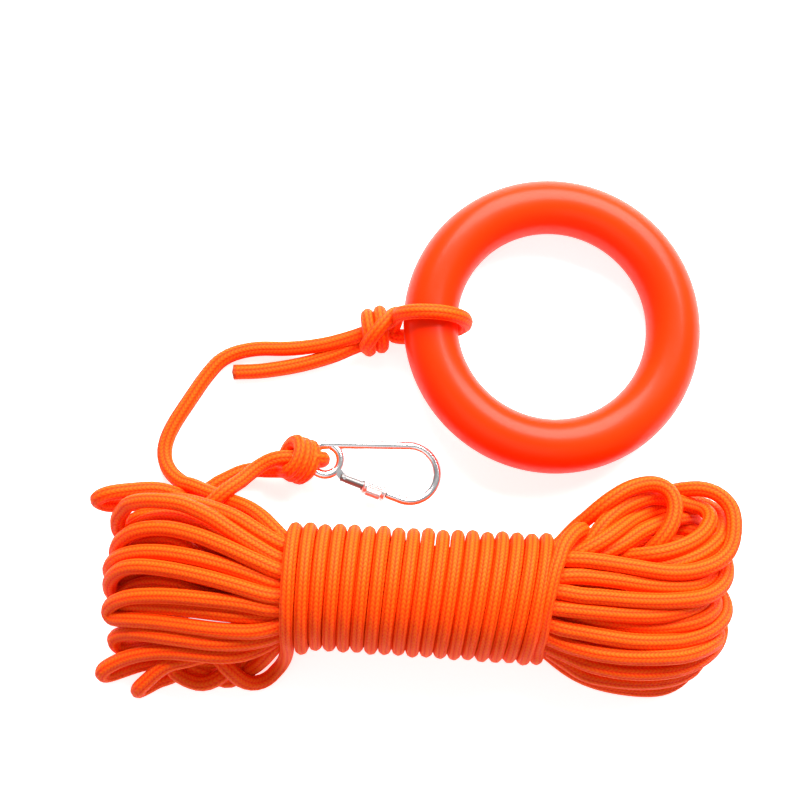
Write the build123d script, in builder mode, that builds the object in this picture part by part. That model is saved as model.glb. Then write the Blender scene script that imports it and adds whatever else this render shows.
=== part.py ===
from build123d import *
import math
import os

# Ring lifebuoy with its throwing line and snap hook. Millimetres, +Z up.
# The origin is on the floor under the centre of the ring.

# Ring float: a hollow moulded shell in two halves round a foam core.
RING_RADIUS = 63.5
TUBE_RADIUS = 14.0
SHELL_WALL = 2.0
CORE_GAP = 0.1
TONGUE_WIDTH = 0.7
TONGUE_HEIGHT = 1.2
TONGUE_GAP = 0.05

# Rope.
ROPE_RADIUS = 4.0
ROPE_FLOOR = ROPE_RADIUS + 0.1
LOOP_CLEARANCE = 0.5

# The rope loop passes under the ring on its -X side, so the ring leans on it.
LOOP_RADIUS = TUBE_RADIUS + ROPE_RADIUS + LOOP_CLEARANCE
LEFT_HEIGHT = ROPE_FLOOR + LOOP_RADIUS
RING_TILT = math.degrees(math.asin((LEFT_HEIGHT - TUBE_RADIUS) / (2 * RING_RADIUS)))
RING_HEIGHT = (LEFT_HEIGHT + TUBE_RADIUS) / 2
LOOP_Y = 3.6

# Snap hook: one bent wire with a closed eye, a sprung gate and a sliding lock sleeve.
WIRE_RADIUS = 2.6
EYE_RADIUS = 8.0
BOW_RADIUS = 14.5
BOW_X = 44.0
NOSE_ANGLE = 110.0
NOSE_LENGTH = 7.5
GATE_SPAN = 31.0
GATE_ROD_RADIUS = 2.1
TANG_THICKNESS = 1.8
TANG_RADIUS = 2.0
FORK_SLOT = 2.0
PIN_RADIUS = 0.8
SPRING_BORE = 1.3
LATCH_PIN_RADIUS = 0.7
TONGUE_THICKNESS = 1.6
SLEEVE_RADIUS = 4.15
SLEEVE_BORE = 2.7
SLEEVE_START = 10.4
SLEEVE_LENGTH = 12.3
EYE_X = -117.7
EYE_Y = -69.4
HOOK_FLOOR = 0.1

# Knots, as their outer shapes.
RING_KNOT = dict(at=(-90.3, -1.5, 13.2), length=19.0, radius=13.0, lobes=3)
HOOK_KNOT = dict(at=(-131.2, -70.3, 12.4), length=22.5, radius=12.2, lobes=4)

# Hank: a bundle of parallel strands, wrapped round its middle, loose loops at both ends.
HANK_START = (-137.0, -134.4)
HANK_ANGLE = -3.3
WRAP_TURNS = 19
WRAP_PITCH = 6.95
WRAP_RADIUS = 31.8
BUNDLE_RADIUS = 24.0
HANK_HEIGHT = WRAP_RADIUS + 0.1

os.makedirs("parts", exist_ok=True)


def save(piece, label):
    piece.label = label
    export_step(piece, f"parts/{label}.step")


def tilted_plane(origin, degrees):
    """Plane leaning down towards +X by the given angle."""
    a = math.radians(degrees)
    return Plane(origin=origin, x_dir=(math.cos(a), 0, -math.sin(a)), z_dir=(math.sin(a), 0, math.cos(a)))


# ---------------------------------------------------------------- ring float

ring_plane = tilted_plane((0, 0, RING_HEIGHT), RING_TILT)
ring_section = Plane(origin=ring_plane.origin, x_dir=ring_plane.x_dir, z_dir=-ring_plane.y_dir)
ring_axis = Axis(ring_plane.origin, ring_plane.z_dir)
tongue_middle = TUBE_RADIUS - SHELL_WALL / 2

with BuildPart() as float_shell_upper:
    with BuildSketch(ring_section) as upper_section:
        with Locations((RING_RADIUS, 0)):
            Circle(TUBE_RADIUS)
            Circle(TUBE_RADIUS - SHELL_WALL, mode=Mode.SUBTRACT)
        with Locations((RING_RADIUS, -TUBE_RADIUS)):
            Rectangle(4 * TUBE_RADIUS, 2 * TUBE_RADIUS, mode=Mode.SUBTRACT)
        with Locations((RING_RADIUS - tongue_middle, 0), (RING_RADIUS + tongue_middle, 0)):
            Rectangle(TONGUE_WIDTH, 2 * TONGUE_HEIGHT)
    revolve(axis=ring_axis)
save(float_shell_upper.part, "float_shell_upper")

with BuildPart() as float_shell_lower:
    with BuildSketch(ring_section) as lower_section:
        with Locations((RING_RADIUS, 0)):
            Circle(TUBE_RADIUS)
            Circle(TUBE_RADIUS - SHELL_WALL, mode=Mode.SUBTRACT)
        with Locations((RING_RADIUS, TUBE_RADIUS)):
            Rectangle(4 * TUBE_RADIUS, 2 * TUBE_RADIUS, mode=Mode.SUBTRACT)
        with Locations((RING_RADIUS - tongue_middle, 0), (RING_RADIUS + tongue_middle, 0)):
            Rectangle(TONGUE_WIDTH + 2 * TONGUE_GAP, 2 * (TONGUE_HEIGHT + TONGUE_GAP), mode=Mode.SUBTRACT)
    revolve(axis=ring_axis)
save(float_shell_lower.part, "float_shell_lower")

with BuildPart() as foam_core:
    with BuildSketch(ring_section):
        with Locations((RING_RADIUS, 0)):
            Circle(TUBE_RADIUS - SHELL_WALL - CORE_GAP)
    revolve(axis=ring_axis)
save(foam_core.part, "foam_core")

# ---------------------------------------------------------------- rope


def bend_radii(points):
    """Radius of the arc at each inner point of a route: 0.45 of the shorter run each side."""
    radii = []
    for a, b, c in zip(points, points[1:], points[2:]):
        before, after = Vector(*b) - Vector(*a), Vector(*c) - Vector(*b)
        turn = math.radians(before.get_angle(after))
        radii.append(0.45 * min(before.length, after.length) / math.tan(turn / 2))
    return radii


def rope_run(points, label):
    """A stretch of rope: straight runs joined by arcs."""
    radii = bend_radii(points)
    with BuildPart() as run:
        with BuildLine() as route:
            FilletPolyline(*points, radius=radii)
        path = route.wire()
        with BuildSketch(Plane(origin=path @ 0, z_dir=path % 0)):
            Circle(ROPE_RADIUS)
        sweep(path=path)
    expected = math.pi * ROPE_RADIUS**2 * path.length
    print(label, "length", round(path.length, 1), "radii", [round(r) for r in radii],
          "volume ratio", round(run.part.volume / expected, 3))
    save(run.part, label)


def rope_bight(centre, radius, start, arc, label):
    """A loop of rope standing in the XZ plane, from one angle of its circle round to another."""
    standing = Plane(origin=centre, x_dir=(1, 0, 0), z_dir=(0, -1, 0))
    with BuildPart() as bight:
        with BuildLine(standing) as route:
            CenterArc((0, 0), radius, start, arc)
        path = route.wire()
        with BuildSketch(Plane(origin=path @ 0, z_dir=path % 0)):
            Circle(ROPE_RADIUS)
        sweep(path=path)
    print(label, "length", round(path.length, 1))
    save(bight.part, label)


def lobed_barrel(plane, length, radius, lobes, inner_radius=0.0, end_drop=0.0):
    """Solid of revolution about the plane's X axis whose outline is a row of round lobes."""
    step = length / lobes
    with BuildPart() as barrel:
        with BuildSketch(plane):
            with BuildLine():
                here = (-length / 2, radius - step / 2 - end_drop)
                Line((-length / 2, inner_radius), here)
                for i in range(lobes):
                    edge = abs(2 * (i + 1) / lobes - 1) ** 3
                    middle = abs((2 * i + 1) / lobes - 1) ** 3
                    there = (-length / 2 + (i + 1) * step, radius - step / 2 - end_drop * edge)
                    ThreePointArc(here, (there[0] - step / 2, radius - end_drop * middle), there)
                    here = there
                Line(here, (length / 2, inner_radius))
                Line((length / 2, inner_radius), (-length / 2, inner_radius))
            make_face()
        revolve(axis=Axis(plane.origin, plane.x_dir))
    return barrel.part


rope_bight((-63.3, LOOP_Y, LEFT_HEIGHT), LOOP_RADIUS, 188, -346, "ring_loop")

knot_plane = Plane(origin=RING_KNOT["at"], x_dir=(1, 0.12, 0), z_dir=(0, 0, 1))
save(lobed_barrel(knot_plane, RING_KNOT["length"], RING_KNOT["radius"], RING_KNOT["lobes"], end_drop=2.6),
     "ring_knot")

rope_run([(-93, -4, 10), (-112, -12.5, 7.2), (-132, -18.6, 4.5), (-150, -21.5, 4.15),
          (-166.5, -22, 4.2)], "rope_tail")

rope_run([(-93, -1, 15), (-112, -6.5, 12.5), (-134, -10.5, 6.5), (-157, -9.2, 4.2), (-176, -17, 4.15),
          (-189, -35.5, 4.2), (-200.5, -53, 4.15), (-202.5, -68, 4.6), (-195, -79.5, 9), (-179, -86.5, 19),
          (-160, -93, 32), (-143, -103.5, 42.5)], "lead_to_hank")

rope_run([(-137, -70.5, 14), (-147, -74.5, 14), (-159, -84.5, 14.5), (-170.5, -91, 18),
          (-181, -96.5, 23)], "hook_leg_front")

rope_run([(-137, -72, 9), (-150, -74, 6.6), (-165, -77, 6.5), (-179, -84, 9), (-194, -86.5, 13)],
         "hook_leg_back")

# Hank, from its wrapped middle outwards.
along = Vector(math.cos(math.radians(HANK_ANGLE)), math.sin(math.radians(HANK_ANGLE)), 0)
wrap_length = WRAP_TURNS * WRAP_PITCH
hank_left_end = Vector(*HANK_START, HANK_HEIGHT)
hank_right_end = hank_left_end + along * wrap_length
hank_plane = Plane(origin=hank_left_end + along * (wrap_length / 2), x_dir=along, z_dir=(0, 0, 1))

save(lobed_barrel(hank_plane, wrap_length, WRAP_RADIUS, WRAP_TURNS, inner_radius=BUNDLE_RADIUS), "hank_wrap")

with BuildPart() as hank_core:
    with BuildSketch(Plane(origin=hank_left_end, z_dir=along)):
        Circle(BUNDLE_RADIUS)
    extrude(amount=wrap_length)
save(hank_core.part, "hank_core")


def loose_loops(end, side, sections, label):
    """The loops at one end of the hank: sections of (distance, Y shift, height, width, depth)."""
    with BuildPart() as loops:
        with BuildSketch(Plane(origin=end, x_dir=(0, 1, 0), z_dir=along * side)):
            Circle(BUNDLE_RADIUS)
        for distance, shift, height, width, depth in sections:
            origin = Vector(end.X, end.Y + shift, height) + along * (side * distance)
            with BuildSketch(Plane(origin=origin, x_dir=(0, 1, 0), z_dir=along * side)):
                Ellipse(width / 2, depth / 2)
        loft()
    save(loops.part, label)


loose_loops(hank_left_end, -1, [(14, -1.5, 28.5, 64, 53), (35, -2.2, 26, 92, 51), (60, -2.6, 24, 104, 47),
                                (82, -2.3, 21.2, 97, 41), (96, -2, 16, 70, 28)], "hank_left_loops")
loose_loops(hank_right_end, 1, [(14, 1.4, 28.5, 68, 53), (36, 3.9, 25.8, 98, 50.5), (60, 6.4, 23.8, 112, 46.5),
                                (84, 10, 20.8, 96, 40), (99, 14.3, 15, 62, 26)], "hank_right_loops")

# ---------------------------------------------------------------- snap hook

# The eye stands on the rope loop that passes under its wire; the bow rests on the floor.
hook_drop = EYE_RADIUS + ROPE_RADIUS + 0.1 - WIRE_RADIUS - HOOK_FLOOR
HOOK_TILT = math.degrees(math.asin(hook_drop / (EYE_RADIUS + BOW_X + BOW_RADIUS)))
eye_height = EYE_RADIUS + ROPE_RADIUS + 0.1 - EYE_RADIUS * math.sin(math.radians(HOOK_TILT))
hook_plane = tilted_plane((EYE_X, EYE_Y, eye_height), HOOK_TILT)
bow_y = EYE_RADIUS - BOW_RADIUS
gate_angle = NOSE_ANGLE - 90
gate_direction = Vector(math.cos(math.radians(gate_angle)), -math.sin(math.radians(gate_angle)))
bow_end = Vector(BOW_X - BOW_RADIUS * math.cos(math.radians(180 - NOSE_ANGLE)),
                 bow_y - BOW_RADIUS * math.sin(math.radians(NOSE_ANGLE)))
hinge_at = bow_end - gate_direction * GATE_SPAN
gate_end = GATE_SPAN - NOSE_LENGTH
gate_plane = Plane(origin=hook_plane.from_local_coords(hinge_at),
                   x_dir=hook_plane.from_local_coords(hinge_at + gate_direction)
                   - hook_plane.from_local_coords(hinge_at),
                   z_dir=hook_plane.z_dir)
across_gate = Plane(origin=gate_plane.origin, x_dir=gate_plane.y_dir, z_dir=gate_plane.x_dir)

with BuildPart() as hook_body:
    with BuildLine(hook_plane) as wire:
        eye_arc = CenterArc((0, 0), EYE_RADIUS, -50, -220)
        Line(eye_arc @ 1, hook_plane.from_local_coords((BOW_X, EYE_RADIUS, 0)))
        bow_arc = CenterArc((BOW_X, bow_y), BOW_RADIUS, 90, -90 - NOSE_ANGLE)
        Line(bow_arc @ 1, bow_arc @ 1 - gate_plane.x_dir * NOSE_LENGTH)
    path = wire.wire()
    with BuildSketch(Plane(origin=path @ 0, z_dir=path % 0)):
        Circle(WIRE_RADIUS)
    sweep(path=path)
    # The web that closes the eye.
    with BuildLine(hook_plane) as web:
        CenterArc((0, 0), EYE_RADIUS, 84, -128)
    path = web.wire()
    with BuildSketch(Plane(origin=path @ 0, z_dir=path % 0)):
        Circle(WIRE_RADIUS - 0.3)
    sweep(path=path)
    # Tang for the gate's pivot, with a shoulder at the eye.
    toward_eye = Vector(0, 0) - hinge_at
    tang_angle = math.degrees(math.atan2(toward_eye.Y, toward_eye.X))
    with BuildSketch(hook_plane):
        with Locations(Location((hinge_at.X, hinge_at.Y, 0), (0, 0, tang_angle))):
            with Locations((2.5, 0)):
                Rectangle(5.0, 2 * TANG_RADIUS)
            Circle(TANG_RADIUS)
    extrude(amount=TANG_THICKNESS / 2, both=True)
    with BuildSketch(hook_plane):
        with Locations(Location((hinge_at.X, hinge_at.Y, 0), (0, 0, tang_angle))):
            with Locations((4.5, 0)):
                Rectangle(3.0, 2 * TANG_RADIUS)
    extrude(amount=WIRE_RADIUS - 0.4, both=True)
    with BuildSketch(gate_plane):
        Circle(PIN_RADIUS + 0.05)
    extrude(amount=TANG_THICKNESS, both=True, mode=Mode.SUBTRACT)
    # Slot and pin pocket in the nose, open on the side the gate swings to.
    pocket_floor = 1.5
    pocket_height = WIRE_RADIUS + pocket_floor + 0.5
    with BuildSketch(gate_plane):
        with Locations((gate_end + 1.4, pocket_height / 2 - pocket_floor)):
            Rectangle(4.6, pocket_height)
    extrude(amount=TONGUE_THICKNESS / 2 + 0.2, both=True, mode=Mode.SUBTRACT)
    with BuildSketch(gate_plane):
        with Locations((gate_end + 2.2, pocket_height / 2 - pocket_floor)):
            Rectangle(2.2, pocket_height)
    extrude(amount=2.0, both=True, mode=Mode.SUBTRACT)
save(hook_body.part, "hook_body")

thread_start = SLEEVE_START - 0.8
rod_end = gate_end - 0.4
with BuildPart() as gate:
    with BuildSketch(across_gate.offset(-GATE_ROD_RADIUS)):
        Circle(GATE_ROD_RADIUS)
    extrude(amount=thread_start + GATE_ROD_RADIUS)
    fillet(gate.edges().sort_by(Axis(gate_plane.origin, gate_plane.x_dir))[0], 0.9)
    with BuildSketch(across_gate.offset(thread_start)):
        Circle(WIRE_RADIUS)
    extrude(amount=rod_end - thread_start)
    with BuildSketch(gate_plane):
        with Locations((rod_end + 1.6, 0.1)):
            Rectangle(4.0, 2.8)
    extrude(amount=TONGUE_THICKNESS / 2, both=True)
    with BuildSketch(gate_plane):
        with Locations((0.6, 0)):
            Rectangle(5.6, 6)
    extrude(amount=FORK_SLOT / 2, both=True, mode=Mode.SUBTRACT)
    with BuildSketch(across_gate):
        Circle(SPRING_BORE)
    extrude(amount=thread_start - 0.4, mode=Mode.SUBTRACT)
    with BuildSketch(gate_plane):
        Circle(PIN_RADIUS + 0.02)
        with Locations((gate_end + 2.1, 0.1)):
            Circle(LATCH_PIN_RADIUS + 0.02)
    extrude(amount=WIRE_RADIUS, both=True, mode=Mode.SUBTRACT)
save(gate.part, "gate")

with BuildPart() as gate_pivot_pin:
    with BuildSketch(gate_plane):
        Circle(PIN_RADIUS)
    extrude(amount=GATE_ROD_RADIUS - 0.05, both=True)
save(gate_pivot_pin.part, "gate_pivot_pin")

with BuildPart() as gate_latch_pin:
    with BuildSketch(gate_plane):
        with Locations((gate_end + 2.1, 0.1)):
            Circle(LATCH_PIN_RADIUS)
    extrude(amount=1.8, both=True)
save(gate_latch_pin.part, "gate_latch_pin")

plunger_back = 5.0
with BuildPart() as gate_plunger:
    with BuildSketch(across_gate.offset(TANG_RADIUS + 0.1)):
        Circle(SPRING_BORE - 0.15)
    extrude(amount=plunger_back - TANG_RADIUS - 0.1)
    fillet(gate_plunger.edges().sort_by(Axis(gate_plane.origin, gate_plane.x_dir))[0], 0.5)
save(gate_plunger.part, "gate_plunger")

spring_wire, spring_radius, spring_turns = 0.16, 0.95, 6
spring_length = thread_start - 0.4 - plunger_back - 2 * spring_wire - 0.04
with BuildPart() as gate_spring:
    spring_plane = across_gate.offset(plunger_back + spring_wire + 0.02)
    with BuildLine():
        coil = Helix(pitch=spring_length / spring_turns, height=spring_length, radius=spring_radius,
                     center=spring_plane.origin, direction=spring_plane.z_dir)
    with BuildSketch(Plane(origin=coil @ 0, z_dir=coil % 0)):
        Circle(spring_wire)
    sweep(path=coil, is_frenet=True)
save(gate_spring.part, "gate_spring")

with BuildPart() as lock_sleeve:
    with BuildSketch(across_gate.offset(SLEEVE_START)):
        Circle(SLEEVE_RADIUS)
        Circle(SLEEVE_BORE, mode=Mode.SUBTRACT)
    extrude(amount=SLEEVE_LENGTH)
    rims = lock_sleeve.edges().filter_by(GeomType.CIRCLE).group_by(SortBy.RADIUS)[-1]
    chamfer(rims, 0.5)
save(lock_sleeve.part, "lock_sleeve")

# The hook's knot has a recess round the eye's wire, and the loop stands in the eye.
with BuildPart() as hook_knot:
    add(lobed_barrel(Plane(origin=HOOK_KNOT["at"], x_dir=(1, 0.05, 0), z_dir=(0, 0, 1)),
                     HOOK_KNOT["length"], HOOK_KNOT["radius"], HOOK_KNOT["lobes"], end_drop=2.2))
    with Locations(hook_plane):
        Torus(EYE_RADIUS, WIRE_RADIUS + 0.5, mode=Mode.SUBTRACT)
save(hook_knot.part, "hook_knot")

eye_wire = hook_plane.from_local_coords((-EYE_RADIUS, 0, 0))
rope_bight((eye_wire.X, EYE_Y, eye_wire.Z), EYE_RADIUS, 80, -160, "hook_loop")

print("ring tilt", round(RING_TILT, 3), "hook tilt", round(HOOK_TILT, 3), "eye height", round(eye_height, 3))
print("hinge", gate_plane.origin, "gate x", gate_plane.x_dir, "hook z", hook_plane.z_dir)
print("hank ends", hank_left_end, hank_right_end)
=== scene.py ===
import bpy
import bmesh
import math
import numpy as np
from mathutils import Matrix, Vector
from mathutils.kdtree import KDTree


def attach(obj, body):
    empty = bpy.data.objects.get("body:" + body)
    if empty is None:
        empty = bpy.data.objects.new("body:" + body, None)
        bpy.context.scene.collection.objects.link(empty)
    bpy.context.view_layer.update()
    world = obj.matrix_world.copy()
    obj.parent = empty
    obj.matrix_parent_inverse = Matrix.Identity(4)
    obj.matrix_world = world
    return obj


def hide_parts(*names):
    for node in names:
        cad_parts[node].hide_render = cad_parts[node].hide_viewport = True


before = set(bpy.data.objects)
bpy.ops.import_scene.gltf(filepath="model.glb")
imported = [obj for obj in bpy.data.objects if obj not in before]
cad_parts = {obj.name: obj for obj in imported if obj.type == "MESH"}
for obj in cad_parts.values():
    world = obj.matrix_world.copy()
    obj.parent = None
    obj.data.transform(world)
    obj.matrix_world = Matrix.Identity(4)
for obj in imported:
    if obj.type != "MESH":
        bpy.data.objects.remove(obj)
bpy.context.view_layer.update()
MM = 0.001

# ------------------------------------------------------------------ sizes, in mm
ROPE = 4.0  # the rope's radius
RIBS, RIB_TWIST, RIB_DEPTH = 8, 6.0, 0.05  # how many, ribs passed in a metre, share of the radius
STITCH = 0.0021  # length of one braid stitch, in metres
BURNT_END = 0.0022  # length of the heat-sealed tip, in metres
HANK_A = np.array((-137.0, -134.4, 31.9))  # the hank's axis, left end
HANK_B = np.array((-5.17, -142.0, 31.9))  # and right end
HANK_DIR = (HANK_B - HANK_A) / np.linalg.norm(HANK_B - HANK_A)
UP = np.array((0.0, 0.0, 1.0))
WRAP_TURNS = 19
WRAP_FRONT_X, FRONT_PITCH = -134.2, 6.79  # where the turns pass the side nearest the viewer
WRAP_BACK_X, BACK_PITCH = -130.8, 7.33  # and the far side
WRAP_LENGTH = 129
WRAP_ACROSS, WRAP_UP = 27.2, 27.8
# Zones of the hank: from and to along its axis, and a distance off the axis.
WRAP_FROM, WRAP_TO, WRAP_INNER = -3, 134, 24.5
BUNDLE_FROM, BUNDLE_TO, BUNDLE_R = 9, 123, 23
LOOP_AT = np.array((-63.3, 3.6, 22.6))
LOOP_R = 18.5
EYE_WIRE = np.array((-125.62, -69.4, 12.1))
EYE_LOOP_R = 7.1
TURN_POINTS = 12  # route points in a turn of a coil
GROW = 1 / math.cos(math.pi / TURN_POINTS)  # puts the spline, not its control points, at the radius
TIP_BULGE = 0.9  # how far a cut end stands out at its middle
FLOOR_LIFT = 4.1  # lowest centreline, a hair over the rope's radius
STEP_FINE, STEP_COARSE, STEP_HIDDEN, STEP_TURN = 1.2, 2.9, 12.0, 0.25  # between rings; radians in a step

# ------------------------------------------------------------------ colours
# Rope: painted shade in the grooves between ribs and stitches, painted highlight on the rib crests; the middle
# colour is the rope's own.
ROPE_GROOVE_SHADE = (0.88, 0.012, 0.0004, 1)
ROPE_MID = (1.0, 0.058, 0.0012, 1)
ROPE_CREST_HIGHLIGHT = (1.0, 0.125, 0.004, 1)
ROPE_WORN = (1.0, 0.048, 0.001, 1)
ROPE_BURNT = (0.30, 0.04, 0.012, 1)
RING_DEEP = (0.95, 0.026, 0.0003, 1)
RING_LIGHT = (1.0, 0.033, 0.0005, 1)
ZINC, DARK_STEEL = (0.84, 0.85, 0.86, 1), (0.17, 0.165, 0.16, 1)
PIN_STEEL, SPRING_STEEL, SATIN_ZINC = (0.62, 0.63, 0.64, 1), (0.42, 0.42, 0.44, 1), (0.62, 0.61, 0.60, 1)
FOAM_WALL, FOAM_CELL = (0.9, 0.88, 0.8, 1), (0.75, 0.72, 0.62, 1)
FLOOR_LIGHT, FLOOR_DARK = (0.93, 0.93, 0.93, 1), (0.90, 0.90, 0.90, 1)

# ------------------------------------------------------------------ the rope's route


def turn_points(centre, side, up, axis, half, start, stop, advance):
    """Points of a coil: half is (across, up), angles in degrees from the side direction."""
    count = max(2, int(round(abs(stop - start) / 360 * TURN_POINTS)))
    out = []
    for i in range(count + 1):
        f = i / count
        a = math.radians(start + (stop - start) * f)
        out.append(centre + axis * (advance[0] + (advance[1] - advance[0]) * f)
                   + side * (half[0] * GROW * math.cos(a)) + up * (half[1] * GROW * math.sin(a)))
    return out


def ring_end():
    """Cut tail, wrapped knot, loop round the ring, and back through the knot to the lead."""
    route = [(-166.5, -22, 4.2), (-158, -21.8, 4.15), (-150, -21.3, 4.15), (-132, -18.6, 4.5), (-113, -13.5, 6.5),
             (-105, -10, 8)]
    axis = np.array((0.966, 0.259, 0.0))
    across = np.array((-0.259, 0.966, 0.0))
    centre = np.array((-89.8, -1.3, 13.6))
    route += turn_points(centre, across, UP, axis, (8.6, 8.4), 250, -410, (-8.6, 3.5))
    # The last turn slants across the top of the others.
    axis = np.array((0.82, -0.57, 0.0))
    across = np.array((0.57, 0.82, 0.0))
    route += turn_points(centre + UP * 1.6, across, UP, axis, (11.6, 11.0), -440, -800, (-2.5, 5.0))
    route += [(-73.5, -3.5, 5.0)]
    route += turn_points(LOOP_AT, np.array((1.0, 0, 0)), UP, np.array((0, 1.0, 0)), (LOOP_R, LOOP_R),
                         -105, 148, (-5.0, -0.6))
    route += [(-80, 3.2, 26), (-84, 2.2, 19.5), (-91, -0.6, 14.5), (-99, -3.6, 13)]
    route += [(-107.9, -5.9, 10.5), (-120, -8.6, 8.5), (-138, -10.0, 5.5), (-156, -9.0, 4.2), (-172, -13.5, 4.15),
              (-181, -24, 4.15), (-189, -36.5, 4.2), (-199.5, -53, 4.15), (-202.5, -65, 4.4), (-198.5, -76, 7),
              (-187, -84, 12), (-174, -88, 19), (-161, -92.5, 28), (-150, -99, 36), (-141, -108, 43),
              (-134, -115, 42)]
    return route


def hook_end():
    """Front leg, through the knot, round the eye's wire, the knot's coil, and the back leg to the far-left tip."""
    route = [(-150, -117, 29), (-168, -115, 24), (-181, -112, 21), (-186, -106, 21), (-181, -99.5, 25),
             (-172, -93.5, 28), (-164, -86.5, 26), (-157, -79, 21.5), (-150, -73, 19), (-143, -69.8, 20),
             (-137, -69.2, 19), (-131, -69.5, 17.5)]
    route += turn_points(EYE_WIRE, np.array((1.0, 0, 0)), UP, np.array((0, 1.0, 0)), (EYE_LOOP_R, EYE_LOOP_R),
                         95, -85, (-0.3, 0.3))
    axis = np.array((0.76, -0.2, -0.62))
    across = np.array((0.254, 0.967, 0.0))
    over = np.array((0.6, -0.157, 0.785))
    route += turn_points(np.array((-130.6, -70.1, 14.4)), across, over, axis, (8.4, 8.2), -135, 880, (5.8, -6.8))
    route += [(-139.5, -74.5, 8), (-147, -74.5, 7), (-155, -73.8, 6.5), (-162, -75.2, 6.5), (-170, -79.5, 7),
              (-178, -83.5, 8.5), (-187, -86, 11), (-194, -85, 14), (-207, -86, 17), (-222, -87, 19),
              (-229, -88.3, 19), (-235, -90.3, 14.5), (-230.5, -92.5, 9.5), (-221, -92, 9.5), (-207, -90.5, 14),
              (-190, -91, 25), (-169, -98, 38), (-158, -102.5, 43), (-148, -109, 47)]
    return route


# Where the strands run inside the hank: (sideways, height) from its axis, upper legs and lower legs.
UPPER = [(19, 6.6), (15.2, 13.2), (11.4, 6.6), (7.6, 13.2), (3.8, 19.7), (3.8, 6.6), (0, 13.2), (-3.8, 19.7),
         (-3.8, 6.6), (-7.6, 13.2), (-11.4, 6.6), (-19, 6.6), (-15.2, 0), (-11.4, -6.6), (-15.2, -13.2)]
LOWER = [(15.2, 0), (19, -6.6), (11.4, -6.6), (7.6, 0), (15.2, -13.2), (3.8, -6.6), (0, 0), (7.6, -13.2),
         (-15.2, 13.2), (-3.8, -6.6), (-7.6, 0), (-19, -6.6), (0, -13.2), (-7.6, -13.2), (-3.8, -19.7)]

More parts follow.
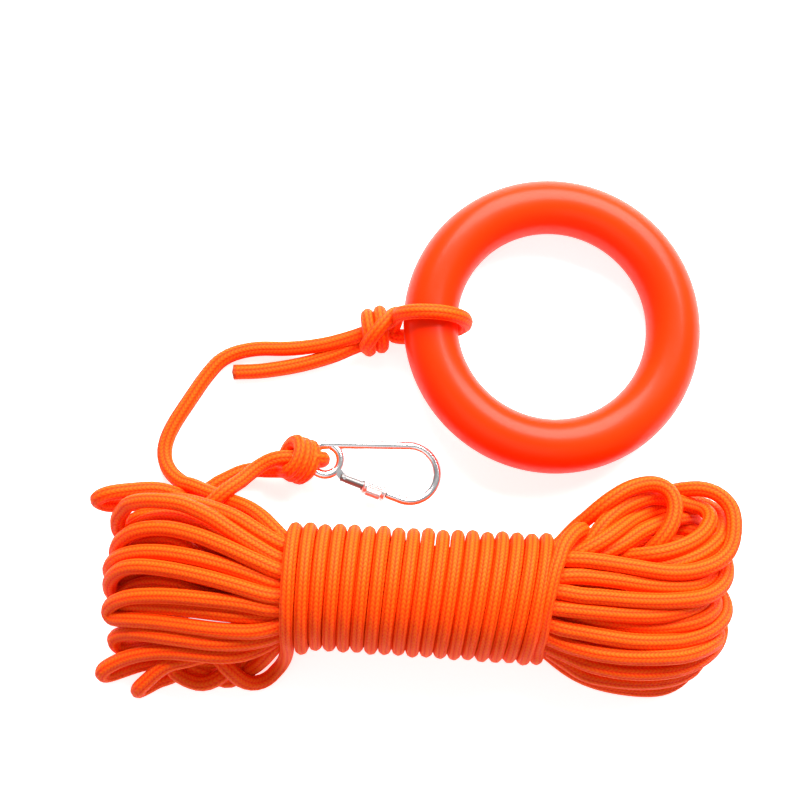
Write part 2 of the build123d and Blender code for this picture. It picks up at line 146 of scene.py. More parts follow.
# Loops at the left end, for upper legs 3 to 15: from the wrap to the tip, then back.
LEFT = [
    ([(-140, -121, 42), (-152, -113, 37), (-166, -106, 30), (-180, -100, 25), (-193, -98, 21), (-207, -97.5, 17),
      (-216, -100.5, 12)],
     [(-217, -105, 6), (-210, -108.5, 4.5), (-197, -110, 4.5), (-182, -112, 5), (-165, -115, 8),
      (-150, -119, 16)]),
    ([(-139.5, -124, 51), (-152, -116, 50.5), (-163, -108.5, 49), (-170, -103.5, 48), (-177.5, -99.5, 46),
      (-185, -96, 44), (-192.5, -94.4, 42), (-200, -93.6, 40), (-206.5, -93.3, 37), (-214, -94, 33),
      (-217.5, -96.5, 28), (-221.8, -101, 22.5)],
     [(-222, -107, 15), (-218, -107.5, 14), (-208, -101.5, 24), (-192, -100.5, 33), (-178, -106.5, 37),
      (-162, -115, 38)]),
    ([(-137, -131, 53.5), (-151, -123, 52.5), (-165, -116.5, 49.5), (-179, -110.8, 45), (-194, -107, 40),
      (-209, -107.5, 35), (-218.5, -112, 28), (-222.8, -118, 20)],
     [(-222, -123, 13), (-218, -119.5, 14.5), (-208, -113, 24), (-190, -112, 33), (-177, -117.5, 37),
      (-160, -126, 38)]),
    ([(-140, -131, 45), (-155, -124, 42), (-172, -119, 37), (-188, -116, 29), (-203, -114, 19),
      (-213, -114, 13), (-218, -117.5, 8)],
     [(-212, -121.5, 4.5), (-196, -123, 4.5), (-178, -122, 6), (-160, -122, 12)]),
    ([(-137, -136, 53.5), (-147, -131, 53), (-161, -126.5, 49.5), (-182, -120.5, 43), (-203, -118, 36),
      (-218, -119.5, 29), (-225.5, -125, 20)],
     [(-224.5, -131, 12), (-215, -131, 11), (-203, -127.5, 19), (-190, -126, 26), (-175, -128, 31),
      (-158, -131, 33)]),
    ([(-137, -142, 52.5), (-156, -136.5, 51.5), (-172, -132, 48), (-191, -127.5, 42.5), (-211, -124.8, 36),
      (-221, -127.5, 28.5), (-225.5, -133, 20)],
     [(-224, -139, 13), (-219, -138, 15.5), (-208, -133.2, 25), (-191, -134, 34), (-176, -138.5, 38),
      (-158, -141, 38)]),
    ([(-140, -138, 44), (-156, -136, 40), (-174, -136, 33), (-192, -137, 25), (-207, -138, 17),
      (-213, -139.5, 11)],
     [(-211, -140, 5), (-200, -138, 4.5), (-180, -134, 6), (-158, -129, 12)]),
    ([(-137, -148.5, 49.5), (-154, -145.5, 48.5), (-171, -143, 46), (-190, -140.5, 41), (-208, -140, 34.5),
      (-217, -141.5, 29), (-222.5, -143.8, 24)],
     [(-224.5, -147, 19.5), (-221.5, -150, 19.5), (-214, -150.5, 26), (-202, -152.5, 31), (-181, -156, 38),
      (-161, -158.5, 42), (-146, -158, 43)]),
    ([(-137, -154, 46.5), (-154, -151, 46), (-171, -148.5, 42), (-188, -146.5, 36), (-206, -145.5, 30),
      (-218, -146, 23)],
     [(-221, -148, 13), (-208, -148, 7), (-183, -146, 7), (-160, -143, 14)]),
    ([(-138, -159.5, 41), (-154, -161.5, 41), (-171, -162, 38.5), (-190, -159.5, 33.5), (-206, -157.5, 27),
      (-217, -157.5, 20), (-223.5, -160, 15)],
     [(-221.5, -165.5, 8.5), (-212, -166, 10), (-196, -164, 16), (-188, -168.5, 14), (-182, -172, 10.5),
      (-175, -174, 9), (-168, -173, 10), (-160, -167.5, 13), (-150, -160, 18)]),
    ([(-139, -160.5, 30), (-150, -166, 31), (-158, -168.6, 31.5), (-168, -169.2, 31), (-181, -168.2, 29),
      (-195, -167.2, 25.5), (-206, -168, 21.5), (-216, -170, 16.5), (-223.5, -173, 13.5),
      (-228.5, -176, 11), (-229.5, -178.5, 7.5)],
     [(-227, -179, 4.2), (-221, -177, 4.2), (-208, -173, 7), (-192, -172, 7.5), (-181, -175, 6),
      (-174, -178.5, 4.6), (-168, -180.5, 4.2), (-162.5, -179, 4.4), (-157.5, -175.5, 6.5), (-153, -173.5, 9),
      (-146.5, -169.5, 17), (-140, -163.5, 24)]),
    ([(-140, -156, 27), (-150, -161, 24), (-164, -166, 20), (-180, -168, 17), (-192, -170, 16), (-199, -175, 14.5),
      (-204, -179.5, 13), (-208, -183, 12), (-210.5, -185.5, 9.5), (-211, -186, 6)],
     [(-207, -184, 4.2), (-201.5, -180.5, 4.2), (-195, -178.5, 4.5), (-186, -172, 6), (-170, -162, 7),
      (-154, -150, 9)]),
    ([(-140, -155, 20), (-150, -160, 17), (-164, -165, 14), (-180, -167, 13), (-190, -169, 12), (-193, -173, 9),
      (-188.5, -177, 6.5), (-183, -180, 4.6)],
     [(-177.5, -181.5, 4.2), (-171, -180, 4.4), (-165.5, -176, 6.5), (-160, -171, 8), (-152, -162, 10)]),
]

# Loops at the right end, for upper legs 1 to 15, in the same form.
RIGHT = [
    ([(-6, -119, 32), (5, -113, 28), (13, -106.5, 31), (19.5, -100.5, 37.5), (26, -94.8, 39.5),
      (33.6, -89, 38.5), (41.6, -85.8, 36.5), (48.5, -85, 35.5), (54.5, -87.5, 35.5), (57.5, -93, 36.5),
      (57.5, -99.5, 38), (55, -106.5, 39.5), (51, -112.5, 40), (47, -117, 38), (43, -121, 32), (40, -123, 25)],
     [(36, -124, 19), (24, -126, 18), (10, -126.5, 24)]),
    ([(-3, -122.5, 50), (8, -122.5, 51), (17, -124, 51.5), (37, -127.5, 48.5), (52, -130, 45), (66, -128.5, 41.5),
      (78, -124, 37.5), (85, -117, 33.5), (88, -104, 30), (87, -95.5, 27.5), (81, -89.5, 25.5), (73, -87.5, 23.5),
      (65, -89, 20.5)],
     [(58, -90, 15), (46, -95, 11), (34, -102, 10), (20, -110, 13), (8, -117, 17)]),
    ([(-4, -125, 40), (8, -119, 42), (18, -108, 41.5), (25, -102, 38.5), (32, -96.5, 35), (41, -92, 31),
      (48, -89.5, 27), (58, -89.5, 20), (68, -91.5, 16), (75.5, -95, 19), (77.5, -101, 26), (73, -109, 31),
      (67, -114, 35), (59, -118.5, 39), (48, -121.5, 42), (38, -122.5, 39)],
     [(30, -122, 33), (18, -124, 27), (6, -127, 24)]),
    ([(-3, -132, 53), (8, -131.5, 52.5), (17, -132.5, 51), (26, -133.5, 50), (42, -136, 46), (59, -137, 42),
      (68, -135.5, 38), (75, -131.5, 32), (79, -126.5, 25), (80, -119, 17)],
     [(76, -112, 11), (64, -108, 8), (46, -112, 7), (28, -118, 10), (10, -127, 18)]),
    ([(-3, -138.5, 53), (8, -141, 52.5), (17, -141.3, 51), (33, -142.7, 48), (50, -143.2, 45), (66, -141.7, 42),
      (74, -139, 37), (79.5, -134.5, 32), (82.5, -129, 27), (83, -122, 20)],
     [(80, -113, 13), (72, -106, 8), (56, -104, 6), (38, -110, 6), (20, -120, 9), (6, -129, 14)]),
    ([(-4, -126, 46), (10, -118, 46), (20, -111.5, 42), (30, -105.5, 36), (39, -101, 30), (50, -96.5, 22),
      (64, -94, 13), (75, -93, 12.5), (82.5, -96.5, 15), (84.5, -103, 21), (83.5, -108, 26), (80, -112.5, 30),
      (72, -118, 35), (62, -121.5, 39), (50, -124, 41), (40, -125, 40)],
     [(30, -127, 34), (18, -129, 28), (6, -132, 25)]),
    ([(-4, -128, 42), (8, -122, 42.5), (19, -117, 42.5), (29, -112.5, 40), (38, -107, 35), (47, -104, 30),
      (58, -100, 20), (67, -98.5, 13), (72, -103, 8)],
     [(69, -111, 6), (56, -118, 5), (38, -123, 5), (20, -128, 10), (6, -134, 18)]),
    ([(-4, -147, 52), (8, -148, 51), (18, -149, 49), (30, -150.2, 46.5), (45, -151, 43.5), (59, -150, 39.5),
      (67, -148.5, 35), (74, -144, 28), (77, -137, 19)],
     [(75, -128, 11), (66, -124, 7), (48, -127, 6), (28, -133, 8), (8, -138, 14)]),
    ([(-4, -133, 44), (10, -134.5, 45), (22, -138, 42), (38, -145, 39), (52, -150, 34), (66, -151.5, 31),
      (75, -151, 24), (80, -154.5, 18)],
     [(80, -161, 20.5), (74.5, -163, 28), (67.5, -165.5, 33), (59, -168, 37), (51, -169.2, 39.5), (34, -170, 41.5),
      (18, -168.7, 42), (8, -166.5, 42), (-4, -163, 42)]),
    ([(-5, -155.5, 47), (1, -157, 47), (9, -158.3, 46), (18, -160, 45), (34, -162.5, 43.5), (51, -162.3, 39.5),
      (60, -161, 36), (70, -158, 32), (77, -153, 27), (82, -147, 21), (83.5, -140, 14)],
     [(79, -132, 8), (66, -130, 5), (46, -134, 5), (26, -139, 7), (8, -142, 13)]),
    ([(-4, -146, 41), (10, -152, 42), (26, -154, 40), (43, -155.5, 38), (59, -153.5, 36), (69, -150.5, 33),
      (76, -146, 27), (79, -140, 20)],
     [(74, -136, 12), (60, -138, 8), (42, -142, 8), (24, -145, 12), (8, -147, 20)]),
    ([(-6, -165, 33), (3, -169, 33.5), (10, -172.5, 34.5), (19, -175.3, 35), (34, -177.6, 34), (50, -177.2, 31),
      (61, -175, 27), (70, -171, 23), (77, -166, 18), (82, -160, 14), (84, -153, 9)],
     [(80, -146, 6), (68, -144, 5), (48, -148, 5), (28, -152, 8), (8, -156, 16)]),
    ([(-5, -167, 25), (3, -172, 26), (11, -178, 26.5), (20, -180.3, 26), (34, -182, 24), (48, -182, 20.5),
      (60, -180, 15), (70, -175, 10)],
     [(72, -168, 6), (62, -162, 5), (44, -160, 6), (26, -158, 9), (8, -153, 14)]),
    ([(-5, -157, 22), (10, -160, 21), (28, -163, 17), (46, -164, 13), (62, -163, 10),
      (72, -159.5, 9), (77, -156, 7)],
     [(75, -150.5, 4.5), (62, -148, 4.5), (44, -150, 4.5), (24, -150, 7), (8, -149, 13)]),
    ([(-6, -167, 17), (4, -175, 18), (12, -179.5, 16.5), (21, -182.7, 14.5), (33, -185, 12), (46, -186, 9),
      (55, -185, 7), (62, -181.5, 5.5), (67, -177, 4.5)],
     [(64, -171, 4.3), (54, -168, 4.3), (38, -165, 5), (22, -160, 7), (8, -152, 10)]),
]
IN_LEFT, IN_RIGHT = -125.0, -17.0


def inside(slot, x):
    """A point of a strand inside the hank."""
    axis = HANK_A + (HANK_B - HANK_A) * (x - HANK_A[0]) / (HANK_B[0] - HANK_A[0])
    return axis + np.array((0.0, slot[0], slot[1]))


def across_hank(slot, way):
    """One pass through the wrap, to the right for a way of 1 and to the left for -1."""
    ends = (IN_LEFT, (IN_LEFT + IN_RIGHT) / 2, IN_RIGHT)
    return [inside(slot, x) for x in (ends if way > 0 else ends[::-1])]


def wrap_points():
    """The turns round the bundle; the last one slants across the right end and tucks in."""
    out = [(-160, -160, 20), (-172, -166, 17), (-167.3, -171.8, 14), (-165, -174.4, 10), (-160.6, -178.5, 6),
           (-155.3, -180.5, 4.4), (-149.9, -180.8, 4.2), (-144.4, -178.8, 5), (-140, -175, 8),
           (-136.7, -170.5, 14)]
    for i in range(TURN_POINTS * (WRAP_TURNS - 1) + 1):
        a = 360 * i / TURN_POINTS
        k = math.floor((a + 1e-6) / 360)
        part = math.radians(a - 360 * k)
        w = (1 - math.cos(part)) / 2
        front, back = WRAP_FRONT_X + FRONT_PITCH * k, WRAP_BACK_X + BACK_PITCH * k
        if part > math.pi:
            front += FRONT_PITCH
        x = (1 - w) * front + w * back
        f = (x - WRAP_FRONT_X) / WRAP_LENGTH
        # A little fuller at the right end, and no two turns quite alike.
        across = WRAP_ACROSS + 0.4 * min(1, 4 * f) + 1.2 * max(0.0, f) ** 2 + 0.35 * math.sin(2.3 * k)
        sag = 4.5 * math.exp(-(a / 500) ** 2) * max(0.0, math.cos(part)) * (1 if k > 0 else 0.6)
        axis_y = HANK_A[1] + (HANK_B[1] - HANK_A[1]) * (x - HANK_A[0]) / (HANK_B[0] - HANK_A[0])
        out.append((x, axis_y - (across + sag) * GROW * math.cos(part),
                    HANK_A[2] + WRAP_UP * GROW * math.sin(part)))
    out += [(-12.5, -163, 42), (-11, -155, 53), (-9.2, -145, 59), (-7, -136, 60.3), (-4.6, -127.5, 59),
            (-1.6, -121, 56), (2.8, -115.8, 51.5), (7.5, -112.2, 48), (12, -110.5, 44), (14.5, -111, 38),
            (12.5, -114, 31), (5, -118, 25), (-5, -123, 19), (-12, -127, 14), (-24, -131, 12), (-40, -136, 16)]
    return out


def whole_route():
    """From the cut tail to the tucked-in end: the passes through the hank take its loops in turn."""
    route = ring_end()
    for i in range(len(UPPER)):
        route += across_hank(UPPER[i], 1)
        out, back = RIGHT[i]
        route += out + back + across_hank(LOWER[i], -1)
        if i == 0:
            route += hook_end()
        elif i < len(UPPER) - 1:
            out, back = LEFT[i - 1]
            route += back[::-1] + out[::-1]
    return route + wrap_points()


def nurbs_line(route, name):
    """Points of the NURBS spline that has the route as its control points, in mm."""
    data = bpy.data.curves.new(name, "CURVE")
    data.dimensions = "3D"
    data.resolution_u = 6
    spline = data.splines.new("NURBS")
    spline.points.add(len(route) - 1)
    for p, q in zip(spline.points, route):
        p.co = (q[0] * MM, q[1] * MM, q[2] * MM, 1)
    spline.order_u = 3
    spline.use_endpoint_u = True
    holder = bpy.data.objects.new(name, data)
    bpy.context.scene.collection.objects.link(holder)
    mesh = bpy.data.meshes.new_from_object(holder)
    points = np.array([v.co for v in mesh.vertices], float) / MM
    bpy.data.objects.remove(holder)
    bpy.data.meshes.remove(mesh)
    bpy.data.curves.remove(data)
    return points


def resample(points, step):
    """Points along the line at a step that follows its own spacing function."""
    seg = np.linalg.norm(np.diff(points, axis=0), axis=1)
    keep = np.concatenate(([True], seg > 1e-6))
    points = points[keep]
    s = np.concatenate(([0], np.cumsum(np.linalg.norm(np.diff(points, axis=0), axis=1))))
    want, at = [0.0], 0.0
    local = step(points, s)
    while at < s[-1]:
        at += float(np.interp(at, s, local))
        want.append(min(at, s[-1]))
    if len(want) > 2 and want[-1] - want[-2] < 0.5:
        del want[-2]
    want = np.array(want)
    return np.stack([np.interp(want, s, points[:, k]) for k in range(3)], axis=1)


def along_hank(points):
    return (points - HANK_A) @ HANK_DIR


def off_axis(points):
    rel = points - HANK_A
    return np.linalg.norm(rel - np.outer(rel @ HANK_DIR, HANK_DIR), axis=1)


def in_bundle(points):
    a = along_hank(points)
    return (a > BUNDLE_FROM) & (a < BUNDLE_TO) & (off_axis(points) < BUNDLE_R)


def in_wrap(points):
    a = along_hank(points)
    return (a > WRAP_FROM) & (a < WRAP_TO) & (off_axis(points) > WRAP_INNER)


def spacing(points, s):
    """Fine steps in bends, coarse ones on straight and hidden stretches."""
    window = 4.0
    fore = np.stack([np.interp(s + window, s, points[:, k]) for k in range(3)], 1)
    aft = np.stack([np.interp(s - window, s, points[:, k]) for k in range(3)], 1)
    u, v = fore - points, points - aft
    n = np.linalg.norm(u, axis=1) * np.linalg.norm(v, axis=1)
    cosine = np.clip((u * v).sum(1) / np.maximum(n, 1e-9), -1, 1)
    bend = np.arccos(cosine) / window
    out = np.clip(STEP_TURN / np.maximum(bend, 1e-4), STEP_FINE, STEP_COARSE)
    out[in_bundle(points)] = STEP_HIDDEN
    return out


# Two strands' centres end this far apart; the rope doesn't push its own stretch beside a point.
STRAND_GAP, OWN_STRETCH = 7.5, 16
ROUNDS, PUSH, PUSH_MAX, SMOOTH, RELAX = 60, 0.4, 1.2, 0.25, 0.985
MOVES_BELOW_Y, PUSHES_BELOW_Y = -82, -78


def settle(points):
    """Pushes strands of the hank apart until they lie beside each other, on the floor, out of the wrap."""
    moved = np.zeros_like(points)
    a = along_hank(points)
    free = np.where((points[:, 1] < MOVES_BELOW_Y) & ~in_wrap(points), 1.0, 0.0)
    free[in_bundle(points)] = 0.0
    # Strands come out of the wrap held, and move freely from 12 mm on.
    near_wrap = np.clip(np.maximum(-a - 2, a - WRAP_TO) / 12, 0, 1)
    free *= 0.25 + 0.75 * near_wrap
    live = np.nonzero(points[:, 1] < PUSHES_BELOW_Y)[0]
    arc = np.concatenate(([0], np.cumsum(np.linalg.norm(np.diff(points, axis=0), axis=1))))
    for _ in range(ROUNDS):
        now = points + moved
        tree = KDTree(len(live))
        for j in live:
            tree.insert(now[j], int(j))
        tree.balance()
        push = np.zeros_like(points)
        for i in live[free[live] > 0]:
            for co, j, d in tree.find_range(now[i], STRAND_GAP):
                if abs(arc[i] - arc[j]) < OWN_STRETCH or d < 1e-6:
                    continue
                push[i] += (now[i] - np.array(co)) * ((STRAND_GAP - d) / d * PUSH)
        length = np.linalg.norm(push, axis=1, keepdims=True)
        push *= np.minimum(1, PUSH_MAX / np.maximum(length, 1e-9))
        moved += push * free[:, None]
        for _ in range(3):
            moved[1:-1] += SMOOTH * (moved[:-2] + moved[2:] - 2 * moved[1:-1]) * (free[1:-1, None] > 0)
        moved *= RELAX
        moved[free == 0] = 0
        low = (points + moved)[:, 2] < FLOOR_LIFT
        moved[low, 2] = FLOOR_LIFT - points[low, 2]
    return points + moved


def tube(name, points, radius, sides, squash, ribs):
    """A mesh tube along the points, with closed ends and UVs: u once round, v in metres along."""
    n = len(points)
    tangents = np.gradient(points, axis=0)
    tangents /= np.linalg.norm(tangents, axis=1, keepdims=True)
    normal = np.cross(tangents[0], UP)
    normal /= np.linalg.norm(normal)
    normals = [normal]
    for i in range(1, n):
        v = normals[-1] - tangents[i] * normals[-1].dot(tangents[i])
        normals.append(v / np.linalg.norm(v))
    normals = np.array(normals)
    binormals = np.cross(tangents, normals)
    arc = np.concatenate(([0], np.cumsum(np.linalg.norm(np.diff(points, axis=0), axis=1))))
    angle = np.arange(sides) * 2 * math.pi / sides
    radii = radius * ribs(angle[None, :], arc[:, None])
    offset = (normals[:, None, :] * np.cos(angle)[None, :, None]
              + binormals[:, None, :] * np.sin(angle)[None, :, None]) * radii[:, :, None]
    offset = squash(offset, points)
    verts = (points[:, None, :] + offset).reshape(-1, 3) * MM
    faces, uvs = [], []
    for i in range(n - 1):
        for k in range(sides):
            k2 = (k + 1) % sides
            faces.append((i * sides + k, i * sides + k2, (i + 1) * sides + k2, (i + 1) * sides + k))
            u0, u1 = k / sides, (k + 1) / sides
            v0, v1 = arc[i] * MM, arc[i + 1] * MM
            uvs.append(((u0, v0), (u1, v0), (u1, v1), (u0, v1)))
    verts = list(map(tuple, verts))
    for i, sign in ((0, -1), (n - 1, 1)):
        verts.append(tuple((points[i] + tangents[i] * sign * TIP_BULGE) * MM))
        tip = len(verts) - 1
        for k in range(sides):
            faces.append((i * sides + k, i * sides + (k + 1) % sides, tip))
            uvs.append(((0.0, arc[i] * MM),) * 3)
    mesh = bpy.data.meshes.new(name)
    mesh.from_pydata(verts, [], faces)
    layer = mesh.uv_layers.new(name="rope")
    flat = [c for face in uvs for uv in face for c in uv]
    layer.data.foreach_set("uv", flat)
    mesh.polygons.foreach_set("use_smooth", [True] * len(mesh.polygons))
    mesh.update()
    piece = bpy.data.objects.new(name, mesh)
    bpy.context.scene.collection.objects.link(piece)
    return piece


# ------------------------------------------------------------------ materials


class Nodes:
    """Small helper that builds a material's node tree."""

    def __init__(self, name):
        self.material = bpy.data.materials.new(name)
        self.material.use_nodes = True
        self.tree = self.material.node_tree
        self.tree.nodes.clear()
        self.out = self.tree.nodes.new("ShaderNodeOutputMaterial")
        self.shader = self.tree.nodes.new("ShaderNodeBsdfPrincipled")
        self.link(self.shader.outputs[0], self.out.inputs[0])

    def link(self, a, b):
        self.tree.links.new(a, b)

    def new(self, kind, inputs=None, **settings):
        node = self.tree.nodes.new(kind)
        for key, value in settings.items():
            setattr(node, key, value)
        for key, value in (inputs or {}).items():
            self.put(node.inputs[key], value)
        return node

    def put(self, socket, value):
        if isinstance(value, bpy.types.NodeSocket):
            self.link(value, socket)
        else:
            socket.default_value = value

    def math(self, op, a, b=0.0, c=0.0):
        node = self.new("ShaderNodeMath", {0: a, 1: b, 2: c}, operation=op)
        return node.outputs[0]

    def mix(self, factor, a, b):
        node = self.new("ShaderNodeMix", data_type="RGBA")
        self.put(node.inputs["Factor"], factor)
        for socket, value in zip([s for s in node.inputs if s.type == "RGBA"], (a, b)):
            self.put(socket, value)
        return [s for s in node.outputs if s.type == "RGBA"][0]

    def ramp(self, factor, stops):
        node = self.new("ShaderNodeValToRGB", {0: factor})
        elements = node.color_ramp.elements
        elements[0].position, elements[0].color = stops[0]
        elements[1].position, elements[1].color = stops[-1]
        for position, color in stops[1:-1]:
            e = elements.new(position)
            e.color = color
        return node.outputs[0]

    def bump(self, height, strength, distance):
        node = self.new("ShaderNodeBump", {"Height": height, "Strength": strength, "Distance": distance})
        return node.outputs[0]

    def set(self, **values):
        for key, value in values.items():
            self.put(self.shader.inputs[key.replace("_", " ")], value)


def rope_material():
    """Braided cover: eight soft ribs along the rope, crossed by fine slanting stitches, with painted shade in
    their grooves and painted highlight on the rib crests.
    """
    m = Nodes("braided_rope")
    uv = m.new("ShaderNodeUVMap", uv_map="rope")
    sep = m.new("ShaderNodeSeparateXYZ", {0: uv.outputs[0]})
    u, v = sep.outputs[0], sep.outputs[1]
    turned = m.math("ADD", m.math("MULTIPLY", u, float(RIBS)), m.math("MULTIPLY", v, RIB_TWIST))
    cell = m.math("FRACT", turned)
    side = m.math("ABSOLUTE", m.math("SUBTRACT", cell, 0.5))
    rib = m.math("SQRT", m.math("SUBTRACT", 1.0, m.math("MULTIPLY", m.math("MULTIPLY", side, side), 3.8)))
    phase = m.math("MULTIPLY_ADD", v, 1 / STITCH, m.math("MULTIPLY", side, 1.5))
    stitch = m.math("POWER", m.math("ABSOLUTE", m.math("SINE", m.math("MULTIPLY", phase, math.pi))), 0.6)
    thread = m.math("SINE", m.math("MULTIPLY", m.math("ADD", cell, m.math("MULTIPLY", phase, 0.5)), 44.0))
    fuzz = m.new("ShaderNodeTexNoise", {"Scale": 1600.0, "Detail": 2.0})
    wear = m.new("ShaderNodeTexNoise", {"Scale": 30.0, "Detail": 3.0})
    # Painted shade in the rib grooves and between the stitches, painted highlight on the rib crests.
    tone = m.math("ADD", m.math("MULTIPLY", rib, 0.62), m.math("MULTIPLY", stitch, 0.38))
    colour = m.ramp(tone, [(0.25, ROPE_GROOVE_SHADE), (0.72, ROPE_MID), (1.0, ROPE_CREST_HIGHLIGHT)])
    colour = m.mix(m.math("MULTIPLY", wear.outputs[0], 0.3), colour, ROPE_WORN)
    burnt = m.math("MAXIMUM", m.math("SUBTRACT", 1.0, m.math("MULTIPLY", v, 1 / BURNT_END)), 0.0)
    colour = m.mix(burnt, colour, ROPE_BURNT)
    height = m.math("ADD", m.math("MULTIPLY", rib, 0.30), m.math("MULTIPLY", stitch, 0.13))
    height = m.math("ADD", height, m.math("MULTIPLY", thread, 0.012))
    height = m.math("ADD", height, m.math("MULTIPLY", fuzz.outputs[0], 0.05))
    m.set(Base_Color=colour, Roughness=0.55, Normal=m.bump(height, 1.0, 0.001))
    m.shader.inputs["Specular IOR Level"].default_value = 0.09
    return m.material


def ring_material():
    """Glossy moulded skin with the faint ripple of a dipped coating."""
    m = Nodes("glossy_float")
    coord = m.new("ShaderNodeTexCoord")
    blotch = m.new("ShaderNodeTexNoise", {"Vector": coord.outputs["Object"], "Scale": 14.0, "Detail": 3.0})
    fine = m.new("ShaderNodeTexNoise", {"Vector": coord.outputs["Object"], "Scale": 350.0, "Detail": 3.0})
    colour = m.ramp(blotch.outputs[0], [(0.3, RING_DEEP), (0.7, RING_LIGHT)])
    wavy = m.new("ShaderNodeTexNoise", {"Vector": coord.outputs["Object"], "Scale": 60.0, "Detail": 1.0})
    normal = m.bump(m.math("ADD", fine.outputs[0], m.math("MULTIPLY", wavy.outputs[0], 2.0)), 0.12, 0.0002)
    rough = m.math("MULTIPLY_ADD", fine.outputs[0], 0.08, 0.30)
    m.set(Base_Color=colour, Roughness=rough, Normal=normal)
    m.shader.inputs["Specular IOR Level"].default_value = 0.10
    m.shader.inputs["Coat Weight"].default_value = 0.10
    m.shader.inputs["Coat Roughness"].default_value = 0.2
    return m.material


def metal_material(name, colour, rough):
    """Steel or plating with a broad tone and fine scratches in its roughness."""
    m = Nodes(name)
    coord = m.new("ShaderNodeTexCoord")
    fine = m.new("ShaderNodeTexNoise", {"Vector": coord.outputs["Object"], "Scale": 1200.0, "Detail": 4.0})
    broad = m.new("ShaderNodeTexNoise", {"Vector": coord.outputs["Object"], "Scale": 160.0, "Detail": 3.0})
    darker = tuple(c * 0.82 for c in colour[:3]) + (1,)
    tone = m.mix(m.math("MULTIPLY", broad.outputs[0], 0.25), colour, darker)
    scratched = m.math("MULTIPLY_ADD", fine.outputs[0], 0.12, rough)
    m.set(Base_Color=tone, Roughness=scratched, Normal=m.bump(fine.outputs[0], 0.08, 0.00005))
    m.shader.inputs["Metallic"].default_value = 1.0
    return m.material


def foam_material():
    """Closed-cell foam, hidden inside the shell."""
    m = Nodes("foam")
    coord = m.new("ShaderNodeTexCoord")
    cells = m.new("ShaderNodeTexVoronoi", {"Vector": coord.outputs["Object"], "Scale": 700.0})
    m.set(Base_Color=m.mix(cells.outputs["Distance"], FOAM_WALL, FOAM_CELL),
          Roughness=0.9, Normal=m.bump(cells.outputs["Distance"], 0.5, 0.0005))
    return m.material


def paint(piece, material):
    piece.data.materials.clear()
    piece.data.materials.append(material)


# ------------------------------------------------------------------ the rope

ROPE_NODES = ["ring_loop", "ring_knot", "rope_tail", "lead_to_hank", "hank_left_loops", "hank_core",
              "hank_wrap", "hank_right_loops", "hook_leg_front", "hook_leg_back", "hook_knot", "hook_loop"]
SQUEEZE = 0.115  # share of the rope's width that its neighbours in the wrap take away


def flatten(offset, points):
    """In the wrap the rope is squeezed along the hank by its neighbours."""
    kernel = np.ones(7) / 7
    w = np.convolve(in_wrap(points).astype(float), kernel, mode="same")
    part = offset @ HANK_DIR
    return offset - (part * (SQUEEZE * w)[:, None])[:, :, None] * HANK_DIR


def rib_shape(angle, arc):
    """Grooves between the eight ribs, in step with the rope material."""
    return 1 - RIB_DEPTH * (0.5 + 0.5 * np.cos(RIBS * angle + 2 * math.pi * RIB_TWIST * arc * MM))


route = whole_route()
line = settle(resample(nurbs_line(route, "rope_route"), spacing))
rope = tube("rope", line, ROPE, 3 * RIBS, flatten, rib_shape)
paint(rope, rope_material())
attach(rope, "rope")
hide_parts(*ROPE_NODES)

# ------------------------------------------------------------------ the CAD pieces that stay


def paint_nodes(material, *names):
    for name in names:
        paint(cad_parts[name], material)


paint_nodes(ring_material(), "float_shell_upper", "float_shell_lower")
paint_nodes(foam_material(), "foam_core")
paint_nodes(metal_material("zinc_plated_steel", ZINC, 0.16), "hook_body")
paint_nodes(metal_material("gate_steel", DARK_STEEL, 0.36), "gate")
paint_nodes(metal_material("pin_steel", PIN_STEEL, 0.22), "gate_pivot_pin", "gate_latch_pin", "gate_plunger")
paint_nodes(metal_material("spring_steel", SPRING_STEEL, 0.25), "gate_spring")

# ------------------------------------------------------------------ knurled lock sleeve

HINGE = np.array((-107.889, -78.923, 9.568))  # the gate's pivot; the sleeve lies along its rod
ROD_DIR = np.array((0.930257, -0.34202, -0.132829))
HOOK_UP = np.array((0.141353, 0.0, 0.989959))
SLEEVE_FROM, SLEEVE_LENGTH, SLEEVE_R, SLEEVE_BORE = 10.4, 12.3, 4.15, 2.7
CORNER, GROOVE_DEPTH = 0.5, 0.45
KNURLS, KNURL_DEPTH = 24, 0.32


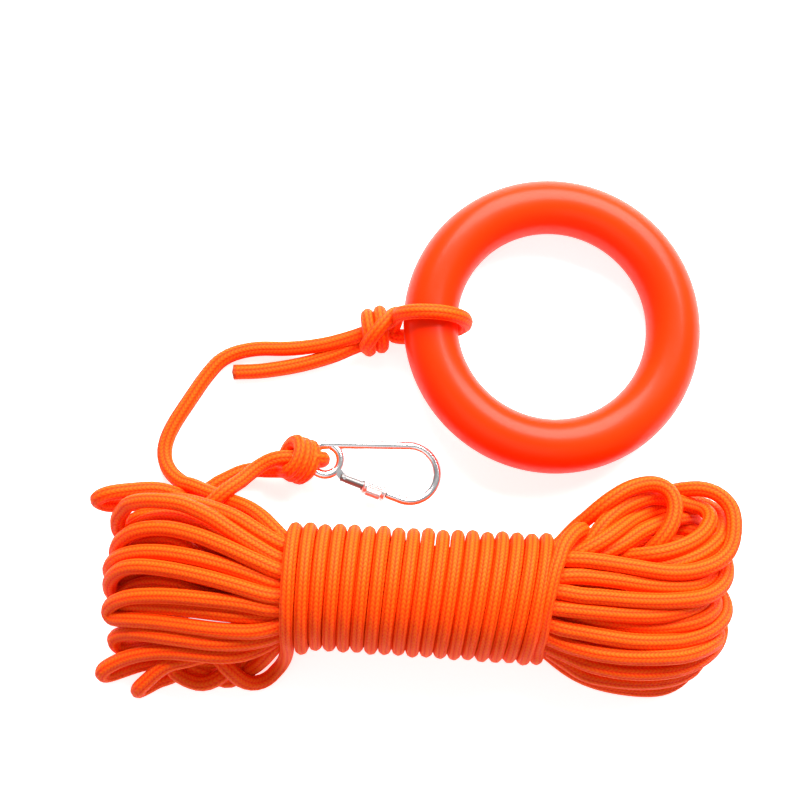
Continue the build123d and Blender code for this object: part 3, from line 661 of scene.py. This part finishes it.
def knurled_sleeve():
    """Threaded sleeve: a smooth collar at each end and straight knurls between two grooves."""
    side = np.cross(HOOK_UP, ROD_DIR)
    end = SLEEVE_LENGTH
    groove = SLEEVE_R - GROOVE_DEPTH
    # Along the rod, radius, and whether the knurls cut in there.
    profile = [(0, SLEEVE_BORE, 0), (0, SLEEVE_R - CORNER, 0), (CORNER, SLEEVE_R, 0), (1.5, SLEEVE_R, 0),
               (1.7, groove, 0), (2.2, groove, 0), (2.5, SLEEVE_R, 1), (end - 2.5, SLEEVE_R, 1),
               (end - 2.2, groove, 0), (end - 1.7, groove, 0), (end - 1.5, SLEEVE_R, 0),
               (end - CORNER, SLEEVE_R, 0), (end, SLEEVE_R - CORNER, 0), (end, SLEEVE_BORE, 0)]
    sides = KNURLS * 4
    verts, faces = [], []
    for s, r, knurled in profile:
        for k in range(sides):
            a = 2 * math.pi * k / sides
            out = r - knurled * KNURL_DEPTH * (0.5 - 0.5 * math.cos(KNURLS * a))
            p = HINGE + ROD_DIR * (SLEEVE_FROM + s) + (side * math.cos(a) + HOOK_UP * math.sin(a)) * out
            verts.append(tuple(p * MM))
    rows = len(profile)
    for i in range(rows):
        j = (i + 1) % rows
        for k in range(sides):
            k2 = (k + 1) % sides
            faces.append((i * sides + k, i * sides + k2, j * sides + k2, j * sides + k))
    mesh = bpy.data.meshes.new("knurled_sleeve")
    mesh.from_pydata(verts, [], faces)
    build = bmesh.new()
    build.from_mesh(mesh)
    bmesh.ops.recalc_face_normals(build, faces=build.faces)
    build.to_mesh(mesh)
    build.free()
    piece = bpy.data.objects.new("knurled_sleeve", mesh)
    bpy.context.scene.collection.objects.link(piece)
    return piece


sleeve = knurled_sleeve()
paint(sleeve, metal_material("satin_zinc", SATIN_ZINC, 0.3))
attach(sleeve, "sleeve")
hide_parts("lock_sleeve")

# ------------------------------------------------------------------ floor, light, camera


FLOOR_HALF, FLOOR_GLOW, WORLD_GLOW = 30.0, 0.7, 0.28
LIGHTS_AIM = (-0.08, -0.04, 0)
ELEVATION, DISTANCE, LENS = 80, 0.7905, 67.5
CAMERA_AIM = (-0.07905, -0.03616, 0)


def floor_piece():
    """A plain pale floor that glows a little, so that it stays white as in the photo."""
    mesh = bpy.data.meshes.new("floor")
    s = FLOOR_HALF
    mesh.from_pydata([(-s, -s, 0), (s, -s, 0), (s, s, 0), (-s, s, 0)], [], [(0, 1, 2, 3)])
    piece = bpy.data.objects.new("floor", mesh)
    bpy.context.scene.collection.objects.link(piece)
    m = Nodes("pale_floor")
    grain = m.new("ShaderNodeTexNoise", {"Scale": 220.0, "Detail": 2.0})
    shade = m.mix(grain.outputs[0], FLOOR_LIGHT, FLOOR_DARK)
    m.set(Base_Color=shade, Roughness=0.6)
    m.shader.inputs["Emission Color"].default_value = (1.0, 1.0, 1.0, 1)
    m.shader.inputs["Emission Strength"].default_value = FLOOR_GLOW
    paint(piece, m.material)


def area_light(name, at, size, power):
    """A rectangular lamp that looks at the object."""
    data = bpy.data.lights.new(name, "AREA")
    data.shape = "RECTANGLE"
    data.size, data.size_y = size
    data.energy = power
    lamp = bpy.data.objects.new(name, data)
    bpy.context.scene.collection.objects.link(lamp)
    lamp.location = at
    lamp.rotation_euler = (Vector(LIGHTS_AIM) - Vector(at)).to_track_quat("-Z", "Y").to_euler()


floor_piece()
world = bpy.data.worlds.new("studio")
bpy.context.scene.world = world
world.use_nodes = True
world.node_tree.nodes["Background"].inputs[0].default_value = (1, 1, 1, 1)
world.node_tree.nodes["Background"].inputs[1].default_value = WORLD_GLOW
area_light("key", (0.30, 1.02, 1.05), (1.7, 1.1), 84)
area_light("front", (-0.25, -0.75, 1.35), (1.2, 0.9), 3)

camera = bpy.data.objects.new("camera", bpy.data.cameras.new("camera"))
bpy.context.scene.collection.objects.link(camera)
direction = Vector((0, -math.cos(math.radians(ELEVATION)), math.sin(math.radians(ELEVATION))))
camera.location = Vector(CAMERA_AIM) + direction * DISTANCE
camera.rotation_euler = (math.radians(90 - ELEVATION), 0, 0)
camera.data.lens = LENS
camera.data.sensor_width = 36
camera.data.clip_start = 0.01
bpy.context.scene.camera = camera
bpy.context.scene.view_settings.view_transform = "Standard"
